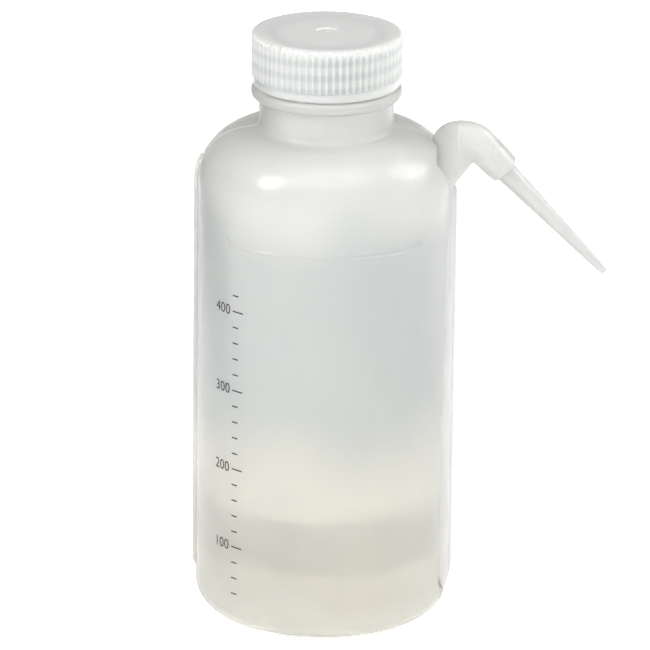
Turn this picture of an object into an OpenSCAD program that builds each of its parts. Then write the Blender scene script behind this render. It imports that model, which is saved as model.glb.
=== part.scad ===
// Wash bottle for laboratory liquids. The bottle, its side delivery tube and the elbow over the
// shoulder are one blow-moulding. A ribbed screw cap with a soft sealing ring closes the neck, and a
// tapered nozzle is pushed into the socket at the elbow's end. Squeezing the body drives the liquid
// in at the tube's foot, up the tube and out of the nozzle.
// Millimetres, +Z up. The origin is on the bottle's axis, in the plane that it stands on, and the
// spout points towards +X.

/* [Body] */
// Outer diameter of the body
body_d = 75; // [71:0.5:80]
// Height of the straight side, from the standing plane to the start of the shoulder's curve
side_h = 131.5; // [110:0.5:150]
// Radius of the rounded edge round the base
base_corner_r = 8; // [6:0.5:9]
// Radius of the shoulder's rounded edge
shoulder_r = 15.8; // [13:0.2:17]
// Slope of the shoulder between its rounded edge and the neck, in degrees
shoulder_slope = 9; // [5:1:14]
// Wall of the blown body
wall_t = 1.3; // [1:0.1:1.7]
// Thickness of the base
base_t = 1.6; // [1.2:0.1:2.2]
// Depth of the hollow under the base
base_recess = 1.5; // [0.8:0.1:2]
// Width of the ring that the bottle stands on
stand_ring_w = 3; // [2:0.5:5]
// Height of the fill line above the standing plane
fill_line_z = 119.4; // [80:0.2:122]
// Angle that the fill line spans across the front, in degrees
fill_line_span = 95; // [60:1:120]

/* [Neck] */
// Outer diameter of the plain neck below the support ring
neck_d = 38.8; // [37:0.1:40]
// Height of the plain neck, from the shoulder to the support ring
neck_h = 9.2; // [7:0.1:12]
// Wall of the plain neck
neck_t = 2; // [1.5:0.1:2.6]
// Outer diameter of the support ring
ring_d = 44; // [42:0.1:46]
// Height of the support ring
ring_h = 3.5; // [3:0.1:4.5]
// Height of the neck's finish, from the support ring to the lip
finish_h = 13; // [12.6:0.1:15]
// Outer diameter of the finish at the thread's root
finish_d = 35.2; // [34.6:0.1:35.6]
// Bore of the mouth
bore_d = 31.6; // [29:0.1:32]

/* [Thread] */
// Rise of the thread in one turn
thread_lead = 4.23; // [4:0.01:4.5]
// How far the thread stands out of the neck
thread_h = 1.3; // [1:0.05:1.4]
// Turns of thread on the neck
neck_turns = 1.6; // [1:0.05:1.65]
// Turns of thread inside the cap
cap_turns = 1.25; // [0.8:0.05:1.35]
// Gap between the neck's thread and the cap's wall, and between the cap's thread and the neck
thread_gap = 0.3; // [0.2:0.05:0.4]

/* [Cap] */
// Outer diameter of the cap over its ribs
cap_d = 44; // [43.4:0.1:46]
// Thickness of the cap's top
cap_top_t = 1.8; // [1.4:0.1:2.4]
// Gap between the cap's rim and the support ring
rim_gap = 0.4; // [0.3:0.1:1]
// Height of the plain skirt below the ribs
skirt_h = 2.6; // [2:0.1:3.5]
// Number of grip ribs
rib_count = 68; // [48:1:80]
// How far the ribs stand out
rib_h = 0.5; // [0.3:0.05:0.6]
// Radius of the cap's rounded top edge
cap_edge_r = 2; // [1.2:0.1:2.4]
// Thickness of the sealing ring
seal_t = 1.2; // [0.8:0.1:1.6]
// Hole through the sealing ring
seal_hole_d = 28.6; // [26:0.1:29.4]

/* [Delivery tube] */
// Outer diameter of the delivery tube
tube_d = 8.8; // [8:0.1:9.4]
// Wall of the delivery tube and of the elbow
tube_t = 1.3; // [1:0.1:1.5]
// How far the tube stands out past the round body
tube_proud = 0.5; // [0.3:0.1:0.8]
// Half width of the side pocket just under the shoulder
pocket_top_w = 10.1; // [7:0.1:11]
// Half width of the side pocket near the base
pocket_foot_w = 14.6; // [10:0.1:15]
// Half width of the side pocket where it runs out over the shoulder
pocket_flare_w = 15; // [11:0.1:15.5]
// Thickness of the seam fins in the parting plane
fin_t = 0.6; // [0.4:0.1:1]
// How far the seam fins stand out past the round body
fin_h = 1.1; // [0.8:0.1:1.4]

/* [Spout] */
// Height of the elbow's top above the shoulder's flat
elbow_rise = 2.9; // [1:0.1:5]
// Height of the elbow, from the crotch on its underside to its top
elbow_h = 12.9; // [12:0.1:14]
// Greatest width of the elbow, measured from the crotch
elbow_w = 14.4; // [13.4:0.1:15]
// How far the crotch lies outside the round body
crotch_out = 5.5; // [5:0.1:8]
// Slope of the socket and the nozzle below the horizontal, in degrees
spout_drop = 46; // [40:1:52]
// Outer diameter of the socket at the elbow
socket_d = 10; // [9.6:0.1:10.6]
// Outer diameter of the socket at its mouth
mouth_d = 9.1; // [8.8:0.1:9.5]
// Length of the socket, from the crotch to its mouth
socket_l = 8.2; // [7.8:0.1:12]

/* [Nozzle] */
// Outer diameter of the nozzle where it meets the socket
nozzle_d = 6.4; // [6.2:0.1:7]
// Outer diameter of the nozzle's tip
tip_d = 2.3; // [2:0.1:3]
// Diameter of the hole in the nozzle's tip
tip_bore_d = 1.2; // [0.8:0.1:1.4]
// Length of the nozzle outside the socket
nozzle_l = 42.9; // [30:0.1:60]
// Diameter of the plug that fits in the socket
plug_d = 6; // [5.6:0.1:6.1]
// Length of the plug
plug_l = 7; // [5:0.1:7.2]
// Clearance between the plug and the socket, on the radius
plug_gap = 0.05; // [0.02:0.01:0.1]

/* [Hidden] */
$fn = 96;
eps = 0.01;

// Body
body_r = body_d / 2;
neck_r = neck_d / 2;
stand_r = body_r - base_corner_r;
recess_r = stand_r - stand_ring_w;
recess_draft = 1.5;

// The rounded edge of the shoulder ends where its slope begins
slope_r = body_r - shoulder_r + shoulder_r * sin(shoulder_slope);
slope_z = side_h + shoulder_r * cos(shoulder_slope);
neck_z = slope_z + (slope_r - neck_r) * tan(shoulder_slope);
neck_fillet_r = 2;

// Neck finish
ring_r = ring_d / 2;
ring_edge_r = 1.4;
ring_z = neck_z + neck_h;
finish_z = ring_z + ring_h;
lip_z = finish_z + finish_h;
lip_round_r = 0.6;
finish_r = finish_d / 2;
bore_r = bore_d / 2;
neck_bore_r = neck_r - neck_t;

// Threads: the same flanks on both, with the cap's thread half a lead below the neck's
thread_r = finish_r + thread_h;
root_w = 2.2;
crest_w = 1.1;
thread_sink = 0.4;
step_deg = 12;
neck_thread_z = finish_z + 3.3;
cap_thread_start_deg = 90;
cap_thread_z = neck_thread_z - thread_lead / 2 + thread_lead * cap_thread_start_deg / 360;
cap_inner_r = thread_r + thread_gap;
cap_thread_r = finish_r + thread_gap;

// Cap
cap_r = cap_d / 2;
cap_root_r = cap_r - rib_h;
rim_z = finish_z + rim_gap;
cap_roof_z = lip_z + seal_t;
cap_top_z = cap_roof_z + cap_top_t;
seal_r = finish_r;
rib_share = 0.5;
gate_r = 3.5;
gate_depth = 0.3;

// Delivery tube: its outer side stands just proud of the round body, and its pocket's floor
// touches its inner side. Below the pocket's foot the tube's bore opens into the chamber
tube_r = tube_d / 2;
tube_x = body_r + tube_proud - tube_r;
tube_bore_r = tube_r - tube_t;
pocket_x = tube_x - tube_r + 0.4;
pocket_foot_z = 10;
pocket_foot_rise = 5;
pocket_top_z = side_h;
pocket_foot_ref_z = 17;
pocket_bend_z = side_h + 2;
pocket_flare_z = side_h + 12;
pocket_lean = 2.9;
web_t = 1.8;
web_foot_z = pocket_foot_z + 1;
tube_end_z = 4;
tube_foot_z = 6.5;
fin_foot_z = 12;
fin_top_z = side_h + 8;

// Elbow: sections fan out from the crotch, from the socket's end to the tube's side
crotch_x = body_r + crotch_out;
elbow_top_z = slope_z + elbow_rise;
crotch_z = elbow_top_z - elbow_h;
crotch_r = 0.3;
fan_start = 90 - spout_drop;
fan_end = 126;
fan_last = 146;
fan_steps = 12;
elbow_depth = 9.6;
tube_lean_z = crotch_z - 6.4;
tube_top_z = tube_lean_z - 2.3;
tube_fin_top_z = tube_lean_z - 0.7;
ring_points = 24;

// Socket and nozzle, along an axis that slopes down and away from the bottle
axis_x = cos(spout_drop);
axis_z = -sin(spout_drop);
side_x = sin(spout_drop);
side_z = cos(spout_drop);
socket_x = crotch_x + side_x * socket_d / 2;
socket_z = crotch_z + side_z * socket_d / 2;
mouth_x = socket_x + axis_x * socket_l;
mouth_z = socket_z + axis_z * socket_l;
socket_bore_r = plug_d / 2 + plug_gap;
plug_bore_r = plug_d / 2 - 0.9;

// Outline of one half of the round body, moved outwards by d, or inwards where d is negative
module body_outline(d, floor_z, stem_r, stem_top) {
    r = body_r + d;
    corner = base_corner_r + d;
    edge = shoulder_r + d;
    edge_x = body_r - shoulder_r;
    end_x = edge_x + edge * sin(shoulder_slope);
    end_z = side_h + edge * cos(shoulder_slope);
    peak_z = end_z + end_x * tan(shoulder_slope);
    intersection() {
        translate([0, floor_z]) square([r + 1, stem_top - floor_z]);
        union() {
            translate([0, base_corner_r - corner]) square([r - corner, side_h]);
            translate([0, base_corner_r]) square([r, side_h - base_corner_r]);
            translate([r - corner, base_corner_r]) circle(corner);
            translate([edge_x, side_h]) circle(edge);
            polygon([[0, side_h - 1], [edge_x, side_h - 1], [end_x, end_z], [0, peak_z]]);
            translate([0, side_h]) square([stem_r, stem_top - side_h]);
        }
    }
}

// Rounded inner corner where the shoulder turns up into the neck, of radius f
module neck_fillet(f) {
    centre_x = neck_r + f;
    centre_z = neck_z - f * tan(shoulder_slope) + f / cos(shoulder_slope);
    difference() {
        translate([neck_r - 1, neck_z - 2]) square([1 + f, centre_z - neck_z + 2]);
        translate([centre_x, centre_z]) circle(f);
        translate([neck_r + f, centre_z - f]) square([1, f + 1]);
        mirror([0, 1]) translate([0, 2 - neck_z]) square([centre_x + 1, 10]);
    }
}

// A bar of revolution with a round outer edge, from radius a to radius b
module round_ring(a, b, z0, h, edge) {
    rotate_extrude() {
        translate([a, z0]) square([b - edge - a, h]);
        translate([a, z0 + edge]) square([b - a, h - 2 * edge]);
        translate([b - edge, z0 + edge]) circle(edge);
        translate([b - edge, z0 + h - edge]) circle(edge);
    }
}

// Closed solid through a list of rings that all have the same number of points
module skin(rings) {
    m = len(rings[0]);
    n = len(rings);
    points = [for (ring = rings) for (p = ring) p];
    sides = [for (i = [0 : n - 2]) for (j = [0 : m - 1])
        let (a = i * m + j, b = i * m + (j + 1) % m)
            [[a, b, b + m], [a, b + m, a + m]]];
    faces = concat([for (pair = sides) pair[0]], [for (pair = sides) pair[1]],
        [[for (j = [m - 1 : -1 : 0]) j]], [[for (j = [0 : m - 1]) (n - 1) * m + j]]);
    polyhedron(points, faces);
}

// Helical thread that rises with the angle. It stands out from radius root to radius crest, or in
// where crest is the smaller, and fades at both ends.
module thread(root, crest, z0, start_deg, turns) {
    steps = ceil(turns * 360 / step_deg);
    out = sign(crest - root);
    fade = 3;
    rings = [for (i = [0 : steps])
        let (a = start_deg + i * turns * 360 / steps,
             z = z0 + thread_lead * i * turns / steps,
             f = min(1, (i + 0.3) / fade, (steps - i + 0.3) / fade),
             tip = root + (crest - root) * f,
             base = root - out * thread_sink,
             wide = root_w / 2 + 0.15,
             ring = [[base, z - wide], [tip, z - crest_w / 2 * f], [tip, z + crest_w / 2 * f], [base, z + wide]])
            [for (p = out > 0 ? ring : [ring[3], ring[2], ring[1], ring[0]])
                [p[0] * cos(a), p[0] * sin(a), p[1]]]];
    skin(rings);
}

// Half width of the side pocket at height z
function pocket_w(z) = pocket_top_w + (pocket_foot_w - pocket_top_w)
    * (pocket_top_z - z) / (pocket_top_z - pocket_foot_ref_z);

// Space of the side pocket, grown by d on every side. Its floor leans outwards over the shoulder,
// where it runs out, and its sides flare there.
module pocket(d) {
    low = 0;
    high = lip_z + 20;
    far = body_r + 10;
    side = [[pocket_w(low) + d, low], [pocket_top_w + d, pocket_top_z],
        [pocket_flare_w + d, pocket_flare_z], [pocket_flare_w + d, high]];
    intersection() {
        rotate([90, 0, 90]) linear_extrude(far) polygon(concat(side,
            [for (i = [len(side) - 1 : -1 : 0]) [-side[i][0], side[i][1]]]));
        rotate([90, 0, 0]) translate([0, 0, -far]) linear_extrude(2 * far)
            polygon([[pocket_x - d, pocket_foot_z - d], [far, pocket_foot_z - pocket_foot_rise - d],
                [far, pocket_bend_z + pocket_lean * (far - pocket_x + d)], [pocket_x - d, pocket_bend_z]]);
    }
}

// One elliptic section of the elbow, between two points in the XZ plane, with its wall taken off
function elbow_ring(p, q, depth, inset) =
    let (w = norm(q - p), u = (q - p) / w, c = (p + q) / 2, a = w / 2 - inset, b = depth / 2 - inset)
        [for (j = [0 : ring_points - 1])
            let (t = 360 * j / ring_points)
                [c[0] + a * cos(t) * u[0], b * sin(t), c[1] + a * cos(t) * u[1]]];

// Width of the elbow, from the crotch outwards, in the direction phi
function fan_w(phi) = socket_d + (elbow_w - socket_d)
    * pow(min(1, max(0, (phi - fan_start) / (fan_end - fan_start))), 1.2);

// The elbow as a swept solid, from inside the tube to inside the socket
module elbow(inset) {
    tube_in = [tube_x + tube_r - 0.15, 0];
    tube_out = [tube_x - tube_r + 0.15, 0];
    low_z = tube_lean_z - 6;
    inner = [crotch_x, crotch_z];
    fan = [for (i = [fan_steps : -1 : 0])
        let (phi = fan_start + (fan_last - fan_start) * i / fan_steps, dir = [cos(phi), sin(phi)])
            elbow_ring(inner + crotch_r * dir, inner + fan_w(phi) * dir, elbow_depth, inset)];
    half = (socket_d - 1.4) / 2;
    end_c = [socket_x + axis_x * 1.5, socket_z + axis_z * 1.5];
    side = [side_x, side_z];
    skin(concat(
        [elbow_ring(tube_in + [0, low_z], tube_out + [0, low_z], tube_d - 0.3, inset)],
        [elbow_ring([tube_in[0] + 0.1, tube_lean_z], [tube_out[0] - 0.1, tube_lean_z + 1.6],
            tube_d + 0.1, inset)],
        [elbow_ring([(crotch_x + tube_in[0]) / 2, (crotch_z + tube_lean_z) / 2],
            [tube_out[0] - 0.1, crotch_z + 1], (tube_d + elbow_depth) / 2, inset)],
        fan,
        [elbow_ring(end_c - half * side, end_c + half * side, 2 * half, inset)]));
}

// Places children with their +Z along the nozzle's axis and their origin at the socket's mouth
module at_mouth() {
    translate([mouth_x, 0, mouth_z]) rotate([0, 90 + spout_drop, 0]) children();
}

// Seam fins in the parting plane: one down the plain side and one outside the tube
module seam_fins() {
    rotate([90, 0, 0]) translate([0, 0, -fin_t / 2]) linear_extrude(fin_t) {
        mirror([1, 0]) fin_outline(fin_top_z);
        fin_outline(tube_fin_top_z);
    }
    at_mouth() translate([-mouth_d / 2 - 0.4, -fin_t / 2, -socket_l + 1]) cube([1.2, fin_t, socket_l - 1.4]);
}

module fin_outline(top_z) {
    intersection() {
        translate([body_r / 2, fin_foot_z]) square([body_r, top_z - fin_foot_z]);
        difference() {
            body_outline(fin_h, 0, neck_r, ring_z);
            body_outline(-wall_t / 2, 0, neck_r, ring_z);
        }
    }
}

// Raised line across the front that marks the filling height, with a tick at each end
module fill_line() {
    line_h = 0.8;
    proud = 0.35;
    tick_h = 2.4;
    start = -90 - fill_line_span / 2;
    rotate([0, 0, start]) rotate_extrude(angle = fill_line_span)
        translate([body_r - wall_t / 2, fill_line_z - line_h / 2]) square([wall_t / 2 + proud, line_h]);
    for (a = [start, start + fill_line_span])
        rotate([0, 0, a]) translate([body_r - wall_t / 2, -line_h / 2, fill_line_z - line_h / 2])
            cube([wall_t / 2 + proud, line_h, tick_h]);
}

// Web that joins the tube to its pocket's floor
module web() {
    web_x = pocket_x - wall_t / 2;
    translate([web_x, -web_t / 2, web_foot_z])
        cube([tube_x - tube_bore_r - 0.4 - web_x, web_t, tube_top_z - 1 - web_foot_z]);
}

module bottle_outside() {
    difference() {
        rotate_extrude() {
            body_outline(0, 0, neck_r, ring_z + 1);
            neck_fillet(neck_fillet_r);
        }
        pocket(0);
        translate([0, 0, -eps]) cylinder(h = base_recess + eps, r1 = recess_r, r2 = recess_r - recess_draft);
    }
    round_ring(bore_r + 1, ring_r, ring_z, ring_h, ring_edge_r);
    rotate_extrude() {
        translate([bore_r - 1, ring_z + 1]) square([finish_r - bore_r + 1, lip_z - lip_round_r - ring_z - 1]);
        translate([bore_r - 1, ring_z + 1]) square([finish_r - lip_round_r - bore_r + 1, lip_z - ring_z - 1]);
        translate([finish_r - lip_round_r, lip_z - lip_round_r]) circle(lip_round_r);
    }
    thread(finish_r, thread_r, neck_thread_z, 0, neck_turns);
    intersection() {
        translate([tube_x, 0, tube_end_z]) cylinder(h = tube_top_z - tube_end_z, r = tube_r);
        rotate_extrude() body_outline(tube_proud, 0, neck_r, ring_z);
    }
    elbow(0);
    web();
    at_mouth() translate([0, 0, -socket_l]) cylinder(h = socket_l, r1 = socket_d / 2 + 0.05, r2 = mouth_d / 2);
    seam_fins();
    fill_line();
}

module bottle_inside() {
    difference() {
        rotate_extrude() {
            body_outline(-wall_t, base_t, neck_bore_r, ring_z);
            translate([0, ring_z - 1]) square([bore_r, lip_z - ring_z + 2]);
        }
        pocket(wall_t);
        elbow(-0.05);
        cylinder(h = base_recess + base_t, r = recess_r + 1);
    }
    translate([tube_x, 0, tube_foot_z]) cylinder(h = tube_lean_z - tube_foot_z - 3, r = tube_bore_r);
    elbow(tube_t);
    at_mouth() translate([0, 0, -plug_l - 1]) cylinder(h = plug_l + 2, r = socket_bore_r);
}

module bottle() {
    color([0.87, 0.87, 0.85]) difference() {
        bottle_outside();
        bottle_inside();
    }
}

// Plan of the ribbed grip: every rib is a bump with sloping flanks
module grip_plan() {
    pitch = 360 / rib_count;
    foot = pitch * rib_share;
    crest = foot * 0.4;
    far = cap_r + 0.3;
    polygon([for (i = [0 : rib_count - 1]) each [
        [cap_root_r * cos(i * pitch - foot / 2), cap_root_r * sin(i * pitch - foot / 2)],
        [far * cos(i * pitch - crest / 2), far * sin(i * pitch - crest / 2)],
        [far * cos(i * pitch + crest / 2), far * sin(i * pitch + crest / 2)],
        [cap_root_r * cos(i * pitch + foot / 2), cap_root_r * sin(i * pitch + foot / 2)]]]);
}

module cap_outside() {
    grip_z = rim_z + skirt_h;
    edge_z = cap_top_z - cap_edge_r;
    intersection() {
        translate([0, 0, grip_z]) linear_extrude(cap_top_z + 1 - grip_z) grip_plan();
        rotate_extrude() {
            translate([0, grip_z - 1]) square([cap_r, edge_z - grip_z + 1]);
            translate([0, edge_z - 1]) square([cap_r - cap_edge_r, cap_edge_r + 1]);
            translate([cap_r - cap_edge_r, edge_z]) circle(cap_edge_r);
        }
    }
    round_ring(cap_inner_r - 1, cap_root_r - 0.1, rim_z, skirt_h + 1, 0.4);
}

module cap() {
    color([0.93, 0.94, 0.93]) {
        difference() {
            cap_outside();
            translate([0, 0, rim_z - 1]) cylinder(h = cap_roof_z - rim_z + 1, r = cap_inner_r);
            translate([0, 0, cap_top_z - gate_depth]) cylinder(h = gate_depth + 1, r = gate_r);
        }
        thread(cap_inner_r, cap_thread_r, cap_thread_z, cap_thread_start_deg, cap_turns);
    }
}

// Soft ring on the neck's lip, squeezed there by the cap's top
module seal_ring() {
    color([0.95, 0.95, 0.93]) rotate_extrude()
        translate([seal_hole_d / 2, lip_z]) square([seal_r - seal_hole_d / 2, seal_t]);
}

module nozzle() {
    shoulder_l = 0.6;
    color([0.9, 0.9, 0.88]) at_mouth() difference() {
        union() {
            translate([0, 0, -plug_l]) cylinder(h = plug_l + 0.1, r = plug_d / 2);
            cylinder(h = shoulder_l, r = nozzle_d / 2);
            translate([0, 0, shoulder_l]) cylinder(h = nozzle_l - shoulder_l, r1 = nozzle_d / 2, r2 = tip_d / 2);
        }
        translate([0, 0, -plug_l - 1]) cylinder(h = plug_l + 1, r = plug_bore_r);
        translate([0, 0, -eps]) cylinder(h = nozzle_l + 2 * eps, r1 = plug_bore_r, r2 = tip_bore_d / 2);
    }
}

bottle();
cap();
seal_ring();
nozzle();
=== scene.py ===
"""Looks of a one-piece polyethylene wash bottle: blown shell, delivery tube, spout, cap and nozzle.

Lengths are named in millimetres and turned into metres when a mesh is made; the studio's own are in
metres. +Z is up, the bottle's axis is the Z axis, and the spout points towards +X.
"""

import logging
from dataclasses import dataclass, replace
from enum import Enum
from typing import Any

import bpy
import numpy as np
from mathutils import Matrix, Vector


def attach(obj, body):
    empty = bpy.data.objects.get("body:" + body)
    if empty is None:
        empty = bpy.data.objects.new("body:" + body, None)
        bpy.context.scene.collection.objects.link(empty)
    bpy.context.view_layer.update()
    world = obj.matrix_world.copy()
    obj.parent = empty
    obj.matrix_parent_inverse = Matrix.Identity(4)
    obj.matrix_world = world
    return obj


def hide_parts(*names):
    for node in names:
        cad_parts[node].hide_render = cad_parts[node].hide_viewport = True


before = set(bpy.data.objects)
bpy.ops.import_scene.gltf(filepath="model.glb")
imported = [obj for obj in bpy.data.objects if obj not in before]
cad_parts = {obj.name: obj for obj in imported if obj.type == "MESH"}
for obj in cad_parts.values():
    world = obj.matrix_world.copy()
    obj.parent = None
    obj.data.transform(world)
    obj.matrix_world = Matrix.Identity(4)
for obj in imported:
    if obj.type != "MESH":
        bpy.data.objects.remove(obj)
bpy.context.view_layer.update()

LOG = logging.getLogger("wash_bottle")
METRES_PER_MM = 0.001
WHITE = "#FFFFFF"

Array = np.ndarray
Pair = tuple[float, float]


# ---------------------------------------------------------------- small tools


def linear_colour(code: str) -> tuple[float, float, float, float]:
    """Turn an sRGB hex colour into linear light.

    The sRGB curve is a straight line up to 0.04045 and a power of 2.4 above it.

    Args:
        code: Colour as "#RRGGBB".

    Returns:
        Linear red, green, blue and an alpha of 1.
    """
    srgb = np.array([int(code[i : i + 2], 16) for i in (1, 3, 5)]) / 255
    light = np.where(srgb <= 0.04045, srgb / 12.92, ((srgb + 0.055) / 1.055) ** 2.4)
    return (float(light[0]), float(light[1]), float(light[2]), 1.0)


def smooth(t: Array) -> Array:
    """Return the S-curve 3t^2 - 2t^3, held at 0 below 0 and at 1 above 1."""
    t = np.clip(t, 0.0, 1.0)
    return t * t * (3 - 2 * t)


def arc(centre: Pair, radius: float, start: float, end: float, count: int) -> Array:
    """Return points on a circle's arc.

    Args:
        centre: The circle's centre in the plane.
        radius: Its radius.
        start: First angle, in degrees.
        end: Last angle, in degrees.
        count: Number of points, both ends among them.

    Returns:
        Array of count points.
    """
    a = np.radians(np.linspace(start, end, count))
    return np.array(centre) + radius * np.stack([np.cos(a), np.sin(a)], axis=1)


def line(start: Pair, end: Pair, count: int) -> Array:
    """Return count evenly spaced points from start to end, both among them."""
    return np.linspace(start, end, count)


def path_of(*parts: Array) -> Array:
    """Join stretches of a path into one, without the points that lie on their neighbours.

    Args:
        *parts: Stretches of points, in order.

    Returns:
        All their points, each at least the smallest step from the one before.
    """
    smallest_step = 1e-6
    points = np.concatenate(parts)
    step = np.linalg.norm(np.diff(points, axis=0), axis=1)
    return points[np.concatenate([[True], step > smallest_step])]


def seam_numbers(count: int) -> Array:
    """Return the index of the next column round a closed ring of count columns."""
    return np.roll(np.arange(count), -1)


@dataclass
class Skin:
    """A closed surface: points in millimetres, four-sided faces and three-sided faces."""

    points: Array
    quads: Array
    triangles: Array

    @classmethod
    def from_rings(cls, rings: Array) -> "Skin":
        """Join rings of points into a closed skin.

        Each ring is joined to the next with four-sided faces. The first and the last ring are each
        closed by a fan of triangles to the ring's mean point.

        Args:
            rings: Array of shape (ring, column, 3). Columns run round and close on themselves.

        Returns:
            The skin, with its faces turned outwards.
        """
        n, m = rings.shape[:2]
        a = (np.arange(n - 1)[:, None] * m + np.arange(m)[None, :]).ravel()
        b = (np.arange(n - 1)[:, None] * m + seam_numbers(m)[None, :]).ravel()
        quads = np.stack([a, b, b + m, a + m], axis=1)
        points = np.concatenate([rings.reshape(-1, 3), rings[:1].mean(1), rings[-1:].mean(1)])
        first, last = np.arange(m), np.arange(m) + (n - 1) * m
        start = np.stack([np.roll(first, -1), first, np.full(m, n * m)], axis=1)
        end = np.stack([last, np.roll(last, -1), np.full(m, n * m + 1)], axis=1)
        return cls(points, quads, np.concatenate([start, end])).outwards()

    @classmethod
    def loop(cls, rings: Array) -> "Skin":
        """Join rings of points into a closed skin whose last ring meets its first.

        Args:
            rings: Array of shape (ring, column, 3). Both rings and columns close on themselves.

        Returns:
            The skin, with its faces turned outwards.
        """
        n, m = rings.shape[:2]
        row, col = np.arange(n)[:, None], np.arange(m)[None, :]
        up, on = seam_numbers(n)[:, None], seam_numbers(m)[None, :]
        corners = (row * m + col, row * m + on, up * m + on, up * m + col)
        quads = np.stack([c.ravel() for c in corners], axis=1)
        return cls(rings.reshape(-1, 3), quads, np.zeros((0, 3), int)).outwards()

    def outwards(self) -> "Skin":
        """Turn the faces so that the signed volume, the sum of a . (b x c) over triangles, isn't negative.

        Returns:
            This skin, or one whose faces are turned over.
        """
        q, t = self.quads, self.triangles
        corners = self.points[np.concatenate([q[:, [0, 1, 2]], q[:, [0, 2, 3]], t])]
        volume = np.einsum("ij,ij->", corners[:, 0], np.cross(corners[:, 1], corners[:, 2]))
        if volume >= 0:
            return self
        return Skin(self.points, q[:, ::-1], t[:, ::-1])

    def joined(self, *others: "Skin") -> "Skin":
        """Put this skin and others side by side in one.

        Args:
            *others: The other skins.

        Returns:
            A skin that holds the points and faces of all.
        """
        points, quads, triangles, shift = [], [], [], 0
        for skin in (self, *others):
            points.append(skin.points)
            quads.append(skin.quads + shift)
            triangles.append(skin.triangles + shift)
            shift += len(skin.points)
        return Skin(np.concatenate(points), np.concatenate(quads), np.concatenate(triangles))

    def moved(self, turn: Array, shift: Array) -> "Skin":
        """Return the skin after a 3 by 3 turn and a shift."""
        return Skin(self.points @ turn.T + shift, self.quads, self.triangles)


def revolved(profile: Array, columns: int) -> Array:
    """Carry a profile round the Z axis.

    A ring's point at angle a is (r cos a, r sin a, z) for the profile's point (r, z).

    Args:
        profile: Points (r, z).
        columns: Number of points round the axis.

    Returns:
        Rings of shape (profile point, column, 3).
    """
    a = np.linspace(0, 2 * np.pi, columns, endpoint=False)
    r, z = profile[:, :1], profile[:, 1:]
    return np.stack([r * np.cos(a), r * np.sin(a), z + 0 * a], axis=2)


@dataclass(frozen=True)
class Thread:
    """A screw thread as a ridge that climbs round a wall and fades at both ends."""

    wall_r: float
    crest_r: float
    start_z: float
    start_deg: float
    turns: float
    lead: float = 4.23
    root_w: float = 2.5
    crest_w: float = 1.1
    sink: float = 0.4
    steps_per_turn: int = 72
    fade_turns: float = 0.1
    end_share: float = 0.1
    flank_share: float = 0.92
    crest_edge: Pair = (0.12, 0.1)

    def skin(self) -> Skin:
        """Carry the ridge's section along the helix.

        At angle a the section's middle is at z0 + lead * a / 360. Its height over the wall is the
        full height times an S-curve that rises from end_share over the first fade_turns and falls
        back over the last. Its crest's two edges are cut off between flank_share and the full height.

        Returns:
            The ridge, sunk a little into its wall.
        """
        t = np.linspace(0, 1, int(self.turns * self.steps_per_turn) + 1)
        a = np.radians(self.start_deg + 360 * self.turns * t)
        ramp = smooth(np.minimum(t, 1 - t) * self.turns / self.fade_turns)
        fade = self.end_share + (1 - self.end_share) * ramp
        middle = self.start_z + self.lead * self.turns * t
        rise = self.crest_r - self.wall_r
        before, after = self.crest_edge
        half_crest = self.crest_w / 2 * fade
        low = np.stack([0 * t - np.sign(rise) * self.sink, self.flank_share * rise * fade, rise * fade])
        half_w = np.stack([0 * t + self.root_w / 2, half_crest + before, half_crest - after])
        radius = (self.wall_r + np.concatenate([low, low[::-1]])).T
        height = (middle + np.concatenate([-half_w, half_w[::-1]])).T
        a = a[:, None]
        return Skin.from_rings(np.stack([radius * np.cos(a), radius * np.sin(a), height], axis=2))


def add_node(tree: Any, kind: str, settings: dict[str, Any] | None = None,
             numbered: dict[int, Any] | None = None, **links: Any) -> Any:
    """Add a shader node.

    Args:
        tree: The node tree.
        kind: The node's type name.
        settings: Values by input name, or by property name where the node has no such input.
        numbered: Output sockets or values by the input's number, where its name isn't its own.
        **links: Output sockets by input name, with _ for a space.

    Returns:
        The node.
    """
    node = tree.nodes.new(kind)
    for name, value in (settings or {}).items():
        if name in node.inputs:
            node.inputs[name].default_value = value
        else:
            setattr(node, name, value)
    for number, source in (numbered or {}).items():
        if isinstance(source, bpy.types.NodeSocket):
            tree.links.new(source, node.inputs[number])
        else:
            node.inputs[number].default_value = source
    for name, source in links.items():
        tree.links.new(source, node.inputs[name.replace("_", " ")])
    return node


def add_math(tree: Any, operation: str, *sources: Any) -> Any:
    """Add a maths node on sockets and numbers, and return its output."""
    return add_node(tree, "ShaderNodeMath", {"operation": operation}, dict(enumerate(sources))).outputs[0]


def add_range(tree: Any, value: Any, settings: dict[str, Any]) -> Any:
    """Add a node that maps a value from one range to another, held at the ends, and return its output."""
    return add_node(tree, "ShaderNodeMapRange", settings, Value=value).outputs["Result"]


def multiply_colour(tree: Any, share: Any, colour: Any, by: Any) -> Any:
    """Add a node that multiplies a colour by another.

    Args:
        tree: The node tree.
        share: How much of the product is used, from 0 to 1: a number or a socket.
        colour: The colour's socket.
        by: What it is multiplied by: a colour or a socket.

    Returns:
        The product's socket.
    """
    share_input, first_input, second_input, colour_output = 0, 6, 7, 2
    settings = {"data_type": "RGBA", "blend_type": "MULTIPLY"}
    numbered = {share_input: share, first_input: colour, second_input: by}
    return add_node(tree, "ShaderNodeMix", settings, numbered).outputs[colour_output]


def blank_tree(holder: Any) -> Any:
    """Return the emptied node tree of a new material or world."""
    holder.use_nodes = True
    holder.node_tree.nodes.clear()
    return holder.node_tree


# ---------------------------------------------------------------- finishes


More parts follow.
